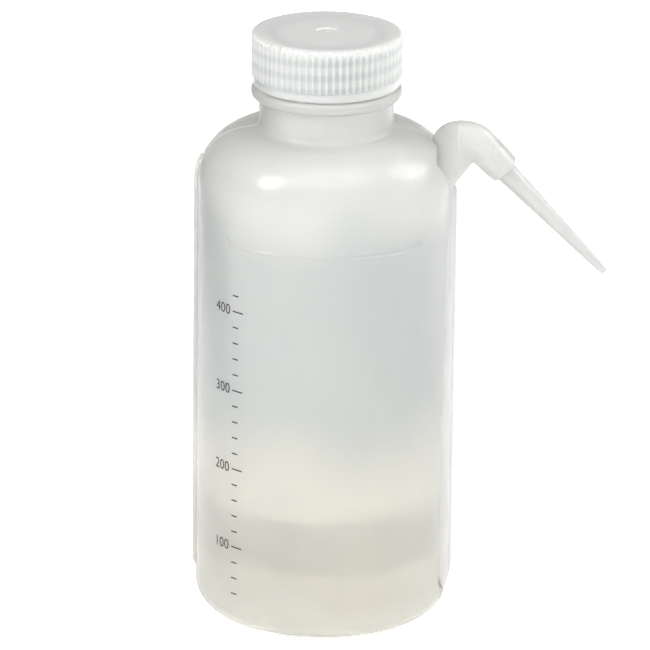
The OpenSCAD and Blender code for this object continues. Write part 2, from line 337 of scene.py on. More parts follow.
class Surface(Enum):
    """How a moulded surface was formed, which sets the pattern that it carries."""

    BLOWN = "blow-moulded against a tool, drawn in long vertical streaks"
    INJECTED = "injection-moulded, near smooth"
    FOAM = "extruded closed-cell foam"
    INK = "screen-printed ink"


@dataclass(frozen=True)
class Winding:
    """Painted shade of a thread inside a wall: darker bands that climb round the wall between the thread's
    turns.
    """

    colour: str
    front_z: float
    top_z: float
    lead: float = 4.23
    fade: float = 1.5
    band_edge: Pair = (-0.4, 0.6)

    def add(self, tree: Any, place: Any, colour: Any) -> Any:
        """Multiply a colour by the bands.

        At angle a and height z a band is darkest where 2 pi (z - front_z) / lead - (a + 90 degrees)
        is a whole number of turns, and it has gone where that is half a turn off. It fades out
        towards top_z.

        Args:
            tree: The node tree.
            place: The socket with the place on the piece.
            colour: The colour's socket.

        Returns:
            The banded colour's socket.
        """
        axes = add_node(tree, "ShaderNodeSeparateXYZ", Vector=place).outputs
        per_metre = 2 * np.pi / (self.lead * METRES_PER_MM)
        start = -self.front_z * METRES_PER_MM * per_metre - np.pi / 2
        climb = add_math(tree, "MULTIPLY_ADD", axes["Z"], per_metre, start)
        phase = add_math(tree, "SUBTRACT", climb, add_math(tree, "ARCTAN2", axes["Y"], axes["X"]))
        edge = {"From Min": self.band_edge[0], "From Max": self.band_edge[1]}
        band = add_range(tree, add_math(tree, "COSINE", phase), edge)
        high, full = self.top_z * METRES_PER_MM, (self.top_z - self.fade) * METRES_PER_MM
        below = add_range(tree, axes["Z"], {"From Min": high, "From Max": full})
        share = add_math(tree, "MULTIPLY", band, below)
        return multiply_colour(tree, share, colour, linear_colour(self.colour))


@dataclass(frozen=True)
class Finish:
    """A plastic or ink, and how its surface was made. Its coat is its own smoother outer skin."""

    name: str
    colour: str
    surface: Surface
    roughness: float
    ior: float = 1.5
    scatter: float = 0.0
    scatter_mm: float = 3.0
    scatter_rgb: tuple[float, float, float] = (1.0, 1.0, 0.95)
    clear: float = 0.0
    coat: float = 0.0
    coat_roughness: float = 0.24
    roughness_spread: float = 0.05
    cloud_mm: float = 34.0
    cloud_stretch: float = 0.6
    cloud_stops: Pair = (0.35, 0.65)
    cloud_shade: tuple[float, ...] = (0.95, 0.955, 0.965, 1.0)
    streak_mm: float = 5.0
    streak_stretch: float = 0.07
    grain_mm: float = 0.9
    streak_depth_mm: float = 0.03
    grain_depth_mm: float = 0.012
    # Bands of colour over the height; on the bottle they carry painted light and shade
    bands: tuple[tuple[float, str], ...] = ()
    band_drift_mm: float = 36.0
    # Painted shade of a thread seen through the wall
    winding: Winding | None = None

    def material(self) -> bpy.types.Material:
        """Build the finish's material from one principled shader and its pattern.

        Returns:
            The material, made once and then found by its name.
        """
        found = bpy.data.materials.get(self.name)
        if found:
            return found
        material = bpy.data.materials.new(self.name)
        tree = blank_tree(material)
        output = add_node(tree, "ShaderNodeOutputMaterial")
        shader = add_node(tree, "ShaderNodeBsdfPrincipled", {
            "IOR": self.ior,
            "Subsurface Weight": self.scatter,
            "Subsurface Radius": self.scatter_rgb,
            "Subsurface Scale": self.scatter_mm * METRES_PER_MM,
            "Transmission Weight": self.clear,
            "Coat Weight": self.coat,
            "Coat Roughness": self.coat_roughness,
            "Coat IOR": self.ior,
        })
        tree.links.new(shader.outputs["BSDF"], output.inputs["Surface"])
        self.pattern(tree, shader)
        return material

    def noise(self, tree: Any, place: Any, size_mm: float, stretch: float, detail: float) -> Any:
        """Add noise whose features are size_mm wide, drawn out along Z by 1 over stretch.

        Args:
            tree: The node tree.
            place: The socket with the place on the piece.
            size_mm: The features' width, in millimetres.
            stretch: The share by which Z is squeezed before the noise is read.
            detail: How many finer octaves are added.

        Returns:
            The noise's socket, from 0 to 1.
        """
        along = add_node(tree, "ShaderNodeMapping", {"Scale": (1, 1, stretch)}, Vector=place)
        settings = {"Scale": 1 / (size_mm * METRES_PER_MM), "Detail": detail, "Roughness": 0.5}
        return add_node(tree, "ShaderNodeTexNoise", settings, Vector=along.outputs["Vector"]).outputs["Fac"]

    def pattern(self, tree: Any, shader: Any) -> None:
        """Add what the process gives the eye: clouds, streaks and grain.

        Clouds are the slow change of a wall's thickness, so they change the colour. Streaks come
        from the hot tube as it is drawn down, so on a blown wall they are about 14 times as long as
        they are wide. They change the gloss and stand in the surface. Grain is the tool's own fine
        texture.

        Args:
            tree: The node tree.
            shader: The surface's shader node.
        """
        place = add_node(tree, "ShaderNodeTexCoord").outputs["Object"]
        drawn = self.streak_stretch if self.surface is Surface.BLOWN else 1.0
        clouds = self.noise(tree, place, self.cloud_mm, self.cloud_stretch, 1.0)
        streaks = self.noise(tree, place, self.streak_mm, drawn, 2.0)
        grain = self.noise(tree, place, self.grain_mm, drawn / 2, 1.0)
        self.tint(tree, shader, place, clouds)
        low, high = self.roughness - self.roughness_spread, self.roughness + self.roughness_spread
        rough = add_range(tree, streaks, {"To Min": low, "To Max": high})
        tree.links.new(rough, shader.inputs["Roughness"])
        if self.streak_depth_mm == 0:
            return
        coarse_depth = {"Distance": self.streak_depth_mm * METRES_PER_MM}
        fine_depth = {"Distance": self.grain_depth_mm * METRES_PER_MM}
        coarse = add_node(tree, "ShaderNodeBump", coarse_depth, Height=streaks)
        fine = add_node(tree, "ShaderNodeBump", fine_depth, Height=grain, Normal=coarse.outputs["Normal"])
        tree.links.new(fine.outputs["Normal"], shader.inputs["Normal"])

    def tint(self, tree: Any, shader: Any, place: Any, clouds: Any) -> None:
        """Colour the plastic by its clouds, and where it has them by bands of height, which carry painted
        light and shade, and by the painted shade of its thread.

        Args:
            tree: The node tree.
            shader: The surface's shader node.
            place: The socket with the place on the piece.
            clouds: The clouds' socket, from 0 to 1.
        """
        base = np.array(linear_colour(self.colour))
        ramp = add_node(tree, "ShaderNodeValToRGB", Fac=clouds)
        dark, bright = ramp.color_ramp.elements
        dark.position, bright.position = self.cloud_stops
        dark.color, bright.color = tuple(base * self.cloud_shade), tuple(base)
        colour = ramp.outputs["Color"]
        if self.bands:
            colour = multiply_colour(tree, 1.0, colour, self.height_ramp(tree, place, clouds))
        if self.winding:
            colour = self.winding.add(tree, place, colour)
        tree.links.new(colour, shader.inputs["Base Color"])

    def height_ramp(self, tree: Any, place: Any, clouds: Any) -> Any:
        """Add the ramp of the bands over the height in millimetres.

        The clouds shift it up and down by up to half the drift, so that no band has a straight edge.

        Args:
            tree: The node tree.
            place: The socket with the place on the piece.
            clouds: The clouds' socket, from 0 to 1.

        Returns:
            The ramp colour's socket.
        """
        top, half_drift = self.bands[-1][0], self.band_drift_mm / 2 * METRES_PER_MM
        height = add_node(tree, "ShaderNodeSeparateXYZ", Vector=place).outputs["Z"]
        drift = add_range(tree, clouds, {"To Min": -half_drift, "To Max": half_drift})
        share = add_range(tree, add_math(tree, "ADD", height, drift), {"From Max": top * METRES_PER_MM})
        stops = add_node(tree, "ShaderNodeValToRGB", Fac=share)
        stops.color_ramp.interpolation = "EASE"
        elements = stops.color_ramp.elements
        for _ in self.bands[2:]:
            elements.new(0.5)
        for element, (mm, code) in zip(elements, self.bands):
            element.position, element.color = mm / top, linear_colour(code)
        return stops.outputs["Color"]


# How the blown wall's colour changes with height: warmer low down, where it is thick, and painted light:
# lighter low down and over the shoulder, with painted shade across the middle
WALL_WARMTH_AND_PAINTED_LIGHT = ((0.0, "#F7F5ED"), (7.0, "#F8F6EE"), (15.0, "#F2EFE7"), (28.0, "#F5F3EB"), (46.0, "#FEFCF4"),
              (70.0, "#E6E8E8"), (118.0, "#E6E8E8"), (134.0, "#FEFEFC"))
# Low-density polyethylene, blown: milky, waxy satin, faint vertical flow streaks
BLOWN_LDPE = Finish("blow_moulded_ldpe", "#FAFAF8", Surface.BLOWN, roughness=0.78, coat=0.7, ior=1.51,
                    scatter=1.0, scatter_mm=4.0, clear=0.72, bands=WALL_WARMTH_AND_PAINTED_LIGHT)
# The same plastic in the side tube, whiter because two walls lie close together, with painted shade that
# darkens its colour from 122 mm up over the elbow
TUBE_LDPE = replace(BLOWN_LDPE, name="blow_moulded_ldpe_tube", clear=0.5,
                    bands=((0.0, "#FEFDF8"), (122.0, "#FEFEFC"), (140.0, "#EEEFED")))
# Low-density polyethylene, injected: the same milkiness, smoother
INJECTED_LDPE = Finish("injection_moulded_ldpe", "#E4E4E0", Surface.INJECTED, roughness=0.32, ior=1.51,
                       scatter=1.0, scatter_mm=3.0, clear=0.4, streak_depth_mm=0.01)
# Polypropylene, injected: glossier than the bottle, with the shade of its thread inside painted on as faint
# darker bands
INJECTED_PP = Finish("injection_moulded_pp", "#EBECE9", Surface.INJECTED, roughness=0.3, coat=0.5,
                     coat_roughness=0.15, ior=1.49, scatter=1.0, scatter_mm=3.0, clear=0.4,
                     streak_depth_mm=0.0, winding=Winding("#EDF0F1", front_z=168.5, top_z=174.5))
# Polyethylene foam sheet, cut to a ring: matt white with fine cells
FOAM = Finish("polyethylene_foam", "#F3F3F0", Surface.FOAM, roughness=0.8, streak_mm=1.5, grain_mm=0.4,
              streak_depth_mm=0.08)
# Screen-printed ink: black, thin, slightly glossy
INK = Finish("screen_printed_ink", "#161616", Surface.INK, roughness=0.4, streak_depth_mm=0.0)


def make_piece(name: str, skin: Skin, finish: Finish, body: str,
               sharp_deg: float = 35.0) -> bpy.types.Object:
    """Make a Blender object from a skin and tie it to a body.

    Args:
        name: The piece's name.
        skin: Its surface, in millimetres, in place.
        finish: What it is made of.
        body: The moving body that it rides on.
        sharp_deg: Edges turned by more than this stay sharp, in degrees.

    Returns:
        The object, at the origin, with its place in its mesh.
    """
    mesh = bpy.data.meshes.new(name)
    faces = skin.quads.tolist() + skin.triangles.tolist()
    mesh.from_pydata((skin.points * METRES_PER_MM).tolist(), [], faces)
    mesh.polygons.foreach_set("use_smooth", np.ones(len(mesh.polygons), bool))
    mesh.set_sharp_from_angle(angle=np.radians(sharp_deg))
    mesh.materials.append(finish.material())
    mesh.validate()
    piece = bpy.data.objects.new(name, mesh)
    bpy.context.scene.collection.objects.link(piece)
    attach(piece, body)
    LOG.info("%s: %d points, %d faces, on %s", name, len(mesh.vertices), len(mesh.polygons), body)
    return piece


# ---------------------------------------------------------------- bottle


@dataclass
class BottleShell:
    """The blown shell: base, side with its pocket, shoulder, neck, support ring and finish."""

    # Body, shoulder and base
    body_r: float = 37.5
    side_h: float = 131.5
    corner_r: float = 8.0
    shoulder_r: float = 15.8
    slope_deg: float = 9.0
    wall: float = 1.3
    base_t: float = 1.6
    recess: float = 1.5
    recess_r: float = 26.5
    recess_draft: float = 1.5
    # Neck, support ring and finish, what cuts their sharp corners off, and the bore's step below the ring
    neck_r: float = 19.4
    neck_h: float = 9.2
    neck_wall: float = 2.0
    fillet_r: float = 2.0
    ring_r: float = 22.0
    ring_h: float = 3.5
    ring_edge_r: float = 1.4
    finish_r: float = 17.6
    finish_h: float = 13.0
    bore_r: float = 15.8
    lip_r: float = 0.6
    ease: float = 0.3
    bore_step: Pair = (0.7, 1.3)
    thread_h: float = 1.3
    thread_start: float = 3.3
    thread_turns: float = 1.6
    # Side pocket: its floor, its widths at the top, the foot and the flare, and how it runs out
    pocket_x: float = 29.6
    pocket_top_w: float = 10.1
    pocket_foot_w: float = 14.6
    pocket_flare_w: float = 15.0
    pocket_ref_z: float = 17.0
    pocket_bend: float = 2.0
    pocket_flare: float = 12.0
    pocket_lean: float = 2.9
    pocket_ends: Pair = (3.5, 12.0)
    pocket_arch: float = 16.0
    pocket_soft: float = 0.35
    flank_w: float = 5.0
    flank_crisp: float = 0.05
    edge_mm: float = 0.3
    edge_w: float = 0.4
    # Unevenness, fill line with its ticks, flash and seam
    wave_mm: float = 0.07
    fill_z: float = 119.4
    fill_span_deg: float = 95.0
    bead_mm: float = 0.38
    bead_w: float = 0.4
    bead_fade: float = 0.3
    tick_h: float = 2.4
    fin_mm: float = 1.1
    fin_w: float = 0.55
    fin_ends: Pair = (10.0, 139.5)
    fin_fade: Pair = (3.0, 1.2)
    seam_mm: float = 0.22

    def __post_init__(self) -> None:
        """Work out the heights where the shoulder, the neck and the ring begin."""
        slope = np.radians(self.slope_deg)
        self.edge_x = self.body_r - self.shoulder_r
        self.slope_r = self.edge_x + self.shoulder_r * np.sin(slope)
        self.slope_z = self.side_h + self.shoulder_r * np.cos(slope)
        self.neck_z = self.slope_z + (self.slope_r - self.neck_r) * np.tan(slope)
        self.ring_z = self.neck_z + self.neck_h
        self.finish_z = self.ring_z + self.ring_h
        self.lip_z = self.finish_z + self.finish_h

    def side_heights(self) -> Array:
        """Choose the heights up the side, close together where the pocket ends and at the fill line.

        Returns:
            Heights, rising.
        """
        foot = np.arange(self.corner_r, self.pocket_ends[1] + 2, 0.75)
        middle = np.linspace(self.pocket_ends[1] + 3, self.fill_z - 1.4, 24)
        bead = np.arange(self.fill_z - 1.0, self.fill_z + self.tick_h + 0.8, 0.2)
        top = np.linspace(self.fill_z + self.tick_h + 1.5, self.side_h, 7)
        return np.concatenate([foot, middle, bead, top])

    def shoulder(self, inset: float, stem_r: float, fillet: float) -> Array:
        """Draw the profile from the shoulder's start to the stem above it.

        The edge is an arc of the shoulder's radius less the inset, then a straight slope, then a
        fillet that ends where it touches the stem.

        Args:
            inset: How far the profile lies inside the outside: 0, or the wall.
            stem_r: The stem's radius.
            fillet: The fillet's radius.

        Returns:
            Points (r, z), from the side up.
        """
        slope = np.radians(self.slope_deg)
        r = self.shoulder_r - inset
        edge = arc((self.edge_x, self.side_h), r, 0, 90 - self.slope_deg, 38)
        end = edge[-1]
        middle_r = stem_r + fillet
        middle_z = end[1] + (end[0] - middle_r) * np.tan(slope) + fillet / np.cos(slope)
        turn = arc((middle_r, middle_z), fillet, 270 - self.slope_deg, 180, 9)
        return path_of(edge, line(tuple(end), tuple(turn[0]), 5), turn)

    def outer_profile(self) -> Array:
        """Draw the outside's profile, from the base's centre to the mouth's edge.

        Corners that have no arc are cut off by a fraction of a millimetre.

        Returns:
            Points (r, z).
        """
        stand_r = self.body_r - self.corner_r
        side = self.side_heights()
        shoulder = self.shoulder(0.0, self.neck_r, self.fillet_r)
        edge, lip, ease = self.ring_edge_r, self.lip_r, self.ease
        top = self.ring_z + self.ring_h - edge
        return path_of(
            line((0.5, self.recess), (self.recess_r - self.recess_draft - 0.6, self.recess), 6),
            line((self.recess_r - self.recess_draft, self.recess - 0.15), (self.recess_r - 0.1, 0.1), 4),
            line((self.recess_r + 0.2, 0.0), (stand_r, 0.0), 4),
            arc((stand_r, self.corner_r), self.corner_r, -90, 0, 22),
            np.stack([np.full(len(side), self.body_r), side], axis=1),
            shoulder,
            line((self.neck_r, shoulder[-1][1]), (self.neck_r, self.ring_z - ease), 4),
            line((self.neck_r + ease, self.ring_z), (self.ring_r - edge, self.ring_z), 3),
            arc((self.ring_r - edge, self.ring_z + edge), edge, -90, 0, 8),
            arc((self.ring_r - edge, top), edge, 0, 90, 8),
            line((self.ring_r - edge, self.finish_z), (self.finish_r + ease, self.finish_z), 3),
            line((self.finish_r, self.finish_z + ease), (self.finish_r, self.lip_z - lip), 6),
            arc((self.finish_r - lip, self.lip_z - lip), lip, 0, 90, 5),
            line((self.finish_r - lip, self.lip_z), (self.bore_r + ease, self.lip_z), 3),
        )

    def inner_profile(self) -> Array:
        """Draw the inside's profile, from the mouth's edge to the middle of the base.

        The finish's bore widens to the neck's just below the ring.

        Returns:
            Points (r, z).
        """
        inner_r, corner = self.body_r - self.wall, self.corner_r - self.wall
        floor, ease = self.base_t, self.ease
        step_top, step_foot = self.bore_step
        bore = self.neck_r - self.neck_wall
        shoulder = self.shoulder(self.wall, bore, self.fillet_r)
        side = np.concatenate([self.side_heights()[:14], np.linspace(21, self.side_h, 24)])
        drop = np.degrees(np.arcsin((self.corner_r - floor) / corner))
        hollow_r, hollow_z = self.recess_r + 1.0, self.recess + self.base_t
        return path_of(
            line((self.bore_r, self.lip_z - ease), (self.bore_r, self.ring_z - step_top), 6),
            line((bore, self.ring_z - step_foot), (bore, shoulder[-1][1]), 4),
            shoulder[::-1],
            np.stack([np.full(len(side), inner_r), side], axis=1)[::-1],
            arc((self.body_r - self.corner_r, self.corner_r), corner, 0, -drop, 16),
            line((hollow_r + ease, floor), (hollow_r, floor + ease), 2),
            line((hollow_r - 0.2, hollow_z - 0.2), (hollow_r - 0.8, hollow_z), 2),
            line((hollow_r - 1.0, hollow_z), (0.5, hollow_z), 6),
        )

    def columns(self) -> Array:
        """Choose the angles of the shell's columns, close together where its surface has detail.

        That is across the pocket, at the seam opposite it, and at the fill line's two ticks. Each
        such stretch has a middle, a half width and a step, in degrees.

        Returns:
            Angles in radians, rising.
        """
        tick, plain_step = self.fill_span_deg / 2, 2.5
        bands = ((0.0, 30.0, 0.5), (180.0, 2.0, 0.125), (270 - tick, 1.2, 0.15), (270 + tick, 1.2, 0.15))
        angles = np.arange(0, 360, plain_step)
        for middle, half, step in bands:
            away = np.abs((angles - middle + 180) % 360 - 180)
            close = middle + np.arange(-half, half + step / 2, step)
            angles = np.concatenate([angles[away > half + step], close])
        return np.radians(np.unique(np.round(angles % 360, 4)))

    def pocket_shape(self, a: Array, radius: Array, z: Array, inset: float) -> tuple[Array, Array]:
        """Work out how far inside the side pocket's edge a point lies, and how deep its floor is there.

        The pocket's floor is flat and leans outwards over the shoulder, where it runs out, and its
        sides flare there. The full depth is how far the radius lies outside the floor's plane, at
        floor / cos a from the axis. At the foot the pocket narrows in an arch and its depth runs
        out smoothly.

        Args:
            a: Angles round the axis.
            radius: Radii without the pocket.
            z: Heights.
            inset: How far the surface lies inside the outside: 0, or the wall.

        Returns:
            Distances inside the edge and depths.
        """
        lean = np.clip(z - self.side_h - self.pocket_bend, 0, None) / self.pocket_lean
        share = (self.side_h - z) / (self.side_h - self.pocket_ref_z)
        below = self.pocket_top_w + (self.pocket_foot_w - self.pocket_top_w) * share
        flare = (self.pocket_flare_w - self.pocket_top_w) * (z - self.side_h) / self.pocket_flare
        arch = np.sqrt(1 - np.clip(1 - z / self.pocket_arch, 0, 1) ** 2)
        half_w = np.where(z < self.side_h, below * arch, self.pocket_top_w + flare) + inset
        soft, hair, far_side = self.pocket_soft, 0.01, 100.0
        gap = radius - (self.pocket_x - inset + lean) / np.maximum(np.cos(a), 0.2)
        depth = np.clip(soft * np.logaddexp(0, np.clip(gap / soft, -8, None)) - hair, 0, None)
        across = np.abs(radius * np.sin(a)) + far_side * (np.cos(a) < 0)
        low, high = self.pocket_ends
        return half_w - across, depth * smooth((z - low) / (high - low))

    def pocket(self, a: Array, radius: Array, z: Array, inset: float) -> Array:
        """Work out how far the side pocket takes the surface in.

        The depth counts in full between the flanks and falls to nothing over a flank's width,
        steepest at the pocket's edge.

        Args:
            a: Angles round the axis.
            radius: Radii without the pocket.
            z: Heights.
            inset: How far the surface lies inside the outside: 0, or the wall.

        Returns:
            What comes off the radius.
        """
        inside, depth = self.pocket_shape(a, radius, z, inset)
        crisp = self.flank_crisp
        t = np.clip(crisp * np.logaddexp(0, np.clip(inside / self.flank_w / crisp, -12, 40)), 0, 1)
        return depth * t * (2 - t)

    def wave(self, a: Array, radius: Array, z: Array) -> Array:
        """Work out the slow unevenness of a blown wall.

        It is the sum of three cosines: one of three lobes round the axis, and ones of five lobes and
        of one lobe that shift with the height. It is nothing at the neck and at the base.

        Args:
            a: Angles round the axis.
            radius: Radii without it.
            z: Heights.

        Returns:
            What comes off the radius.
        """
        plain = smooth((radius - self.neck_r - 3) / 6) * smooth((z - 4) / 8)
        return self.wave_mm * plain * (
            1 - 0.4 * np.cos(3 * a + 1.1) - 0.3 * np.cos(5 * a - z / 23) - 0.3 * np.cos(z / 17 + a)
        )

    def relief(self, a: Array, radius: Array, z: Array) -> Array:
        """Work out how far the fill line, its ticks, the seam, the flash and the pocket's edge stand out.

        The fill line is a bead with a bell-shaped section across the front, with a tick up from
        each end. The seam runs in the plane through the spout. It is a low ridge over the shoulder
        and the neck, and a thin fin of flash down the plain side.

        Args:
            a: Angles round the axis.
            radius: Radii without the relief.
            z: Heights.

        Returns:
            Heights over the plain surface.
        """
        off = np.abs((a + 1.5 * np.pi) % (2 * np.pi) - np.pi)
        end = np.radians(self.fill_span_deg / 2)
        fade = self.bead_fade
        across = smooth((end - off) * self.body_r / fade + 1)
        bead = self.bead_mm * np.exp(-(((z - self.fill_z) / self.bead_w) ** 2)) * across
        up = smooth((z - self.fill_z) / fade + 0.5) * smooth((self.fill_z + self.tick_h - z) / self.bead_w)
        tick = self.bead_mm * np.exp(-(((off - end) * self.body_r / self.bead_w) ** 2)) * up
        side = np.abs(radius * np.sin(a)) / (self.fin_w / 2)
        ridge = smooth(1.6 - side)
        low, high = self.fin_ends
        foot_fade, top_fade = self.fin_fade
        fin = smooth((z - low) / foot_fade) * smooth((high - z) / top_fade) * (np.cos(a) < 0)
        seam = smooth(z - high + 1) * (radius < self.body_r - 3) * smooth((self.ring_z - z) / 0.5)
        inside, depth = self.pocket_shape(a, radius, z, 0.0)
        edge = self.edge_mm * np.exp(-(((inside - 0.1) / self.edge_w) ** 2)) * smooth(depth / 2)
        return np.maximum(bead, tick) + edge + ridge * (self.fin_mm * fin + self.seam_mm * seam * (1 - fin))

    def rings(self, profile: Array, inset: float) -> Array:
        """Carry a profile round the axis with its pocket, unevenness and relief.

        The pocket and the unevenness are taken off the radius. On the outside the relief is then
        added along the profile's own normal.

        Args:
            profile: Points (R, z).
            inset: How far the profile lies inside the outside: 0, or the wall.

        Returns:
            Rings of shape (profile point, column, 3).
        """
        a = self.columns()[None, :]
        radius, height = profile[:, :1], profile[:, 1:]
        r = radius - self.pocket(a, radius, height, inset) - self.wave(a, radius, height)
        z = height + 0 * a
        if inset == 0:
            along = np.gradient(profile, axis=0)
            along /= np.linalg.norm(along, axis=1, keepdims=True)
            lift = self.relief(a, radius, height)
            r, z = r + lift * along[:, 1:], z - lift * along[:, :1]
        return np.stack([r * np.cos(a), r * np.sin(a), z], axis=2)

    def skin(self) -> Skin:
        """Return the whole shell, outside and inside, as one closed skin."""
        outside = self.rings(self.outer_profile(), 0.0)
        inside = self.rings(self.inner_profile(), self.wall)
        return Skin.from_rings(np.concatenate([outside, inside]))

    def neck_thread(self) -> Thread:
        """Return the thread round the finish."""
        start_z = self.finish_z + self.thread_start
        return Thread(self.finish_r, self.finish_r + self.thread_h, start_z, 0.0, self.thread_turns)

    def outline(self, proud: float, z: Array) -> Array:
        """Work out the round outside's radius, from the base to the shoulder.

        Args:
            proud: By how much the outside is grown.
            z: Heights.

        Returns:
            Radii: an arc below the side, the body's own up the side, an arc above it.
        """
        low = self.corner_r + proud
        below = self.body_r - self.corner_r + np.sqrt(np.clip(low**2 - (self.corner_r - z) ** 2, 0, None))
        high = self.shoulder_r + proud
        above = self.edge_x + np.sqrt(np.clip(high**2 - (z - self.side_h) ** 2, 0, None))
        flat = np.full_like(z, self.body_r + proud)
        return np.where(z < self.corner_r, below, np.where(z > self.side_h, above, flat))

    def base_weld(self) -> Skin:
        """Draw the weld across the hollow under the base, where the mould pinched the tube shut.

        Returns:
            A low bar whose ends taper over their last millimetres.
        """
        taper = 3
        x = np.linspace(-self.recess_r + taper, self.recess_r - taper, 60)
        ends = smooth((self.recess_r - taper - np.abs(x)) / taper)
        turn = np.linspace(0, 2 * np.pi, 12, endpoint=False)
        y = (0.3 + 0.5 * ends)[:, None] * np.cos(turn)
        z = self.recess + (0.2 + 0.4 * ends)[:, None] * np.sin(turn)
        return Skin.from_rings(np.stack([x[:, None] + 0 * y, y, z], axis=2))


@dataclass
class TubeFin:
    """Thin flash left in the parting plane down the tube's outer side."""

    shell: BottleShell
    foot_z: float = 7.0
    top_z: float = 130.0
    proud: float = 1.1
    root_w: float = 0.7
    crest_w: float = 0.4
    depth: float = 1.2
    foot_fade: float = 5.0
    top_fade: float = 0.8

    def skin(self) -> Skin:
        """Carry the fin's thin section up the outline.

        The section's crest follows the outside's radius plus the fin's height, tapered to nothing
        over a few millimetres at the foot.

        Returns:
            The fin, sunk into the tube.
        """
        z = np.linspace(self.foot_z, self.top_z, 90)
        ends = smooth((z - self.foot_z) / self.foot_fade) * smooth((self.top_z - z) / self.top_fade + 0.5)
        crest = self.shell.outline(0.0, z) + self.proud * ends
        root = self.shell.outline(0.0, z) - self.depth
        half_root, half_crest = self.root_w / 2, self.crest_w / 2
        x = np.stack([root, crest - 0.15, crest, crest, crest - 0.15, root], axis=1)
        y = np.array([-half_root, -half_crest, -half_crest * 0.6, half_crest * 0.6, half_crest, half_root])
        return Skin.from_rings(np.stack([x, y + 0 * x, z[:, None] + 0 * x], axis=2))


@dataclass
class PrintedScale:
    """Printed millilitre scale down the side: a tick every 20 mL and a number every 100 mL."""

    shell: BottleShell
    middle_deg: float = 217.0
    per_100: float = 24.3
    first_z: float = 26.5
    count: int = 4
    digit_h: float = 3.1
    long_tick: float = 4.0
    short_tick: float = 2.2
    stroke: float = 0.4
    lift: float = 0.04
    ticks_per_100: int = 5
    ticks_below_100: int = 3
    tick_u: float = 5.2
    number_u: float = 4.2
    capital_share: float = 0.7

    def wrapped(self, u: Array, v: Array) -> Array:
        """Wrap a flat print round the side.

        Args:
            u: Millimetres round from the scale's middle.
            v: Heights.

        Returns:
            Points just over the side.
        """
        a = np.radians(self.middle_deg) + u / self.shell.body_r
        r = self.shell.body_r - self.shell.wave(a, np.full_like(a, self.shell.body_r), v) + self.lift
        return np.stack([r * np.cos(a), r * np.sin(a), v], axis=-1)

    def ticks(self) -> Skin:
        """Draw all the ticks as thin patches that follow the side.

        Returns:
            A strip of four-sided faces for each tick, longer at every 100 mL.
        """
        number = np.arange(self.ticks_per_100 * self.count) - self.ticks_below_100
        z = self.first_z + number * self.per_100 / self.ticks_per_100
        length = np.where(number % self.ticks_per_100 == 0, self.long_tick, self.short_tick)
        share = np.linspace(0, 1, 5)
        u = self.tick_u + length[:, None, None] * share[None, :, None] + np.zeros((1, 1, 2))
        v = z[:, None, None] + self.stroke * np.array([-0.5, 0.5]) + 0 * u
        points = self.wrapped(u, v).reshape(-1, 3)
        per_tick = len(share) * 2
        corner = np.arange(len(z))[:, None] * per_tick + 2 * np.arange(len(share) - 1)[None, :]
        quads = np.stack([corner, corner + 2, corner + 3, corner + 1], axis=2).reshape(-1, 4)
        return Skin(points, quads, np.zeros((0, 3), int))

    def number(self, value: int) -> Skin:
        """Draw a number in the plain built-in font as triangles that follow the side.

        Args:
            value: The number, in millilitres.

        Returns:
            Its triangles, at its own height on the scale.
        """
        curve = bpy.data.curves.new("number", "FONT")
        curve.body = str(value)
        curve.align_x, curve.align_y = "RIGHT", "CENTER"
        curve.size = self.digit_h / self.capital_share
        curve.resolution_u = 3
        holder = bpy.data.objects.new("number", curve)
        bpy.context.scene.collection.objects.link(holder)
        flat = bpy.data.meshes.new_from_object(holder.evaluated_get(bpy.context.evaluated_depsgraph_get()))
        flat.calc_loop_triangles()
        points = np.zeros(len(flat.vertices) * 3)
        flat.vertices.foreach_get("co", points)
        corners = np.zeros(len(flat.loop_triangles) * 3, dtype=np.int32)
        flat.loop_triangles.foreach_get("vertices", corners)
        bpy.data.objects.remove(holder)
        bpy.data.curves.remove(curve)
        bpy.data.meshes.remove(flat)
        place = points.reshape(-1, 3)
        z = self.first_z + self.per_100 * (value / 100 - 1)
        points = self.wrapped(place[:, 0] + self.number_u, place[:, 1] + z)
        return Skin(points, np.zeros((0, 4), int), corners.reshape(-1, 3))

    def skin(self) -> Skin:
        """Return the whole print."""
        return self.ticks().joined(*[self.number(100 * (i + 1)) for i in range(self.count)])


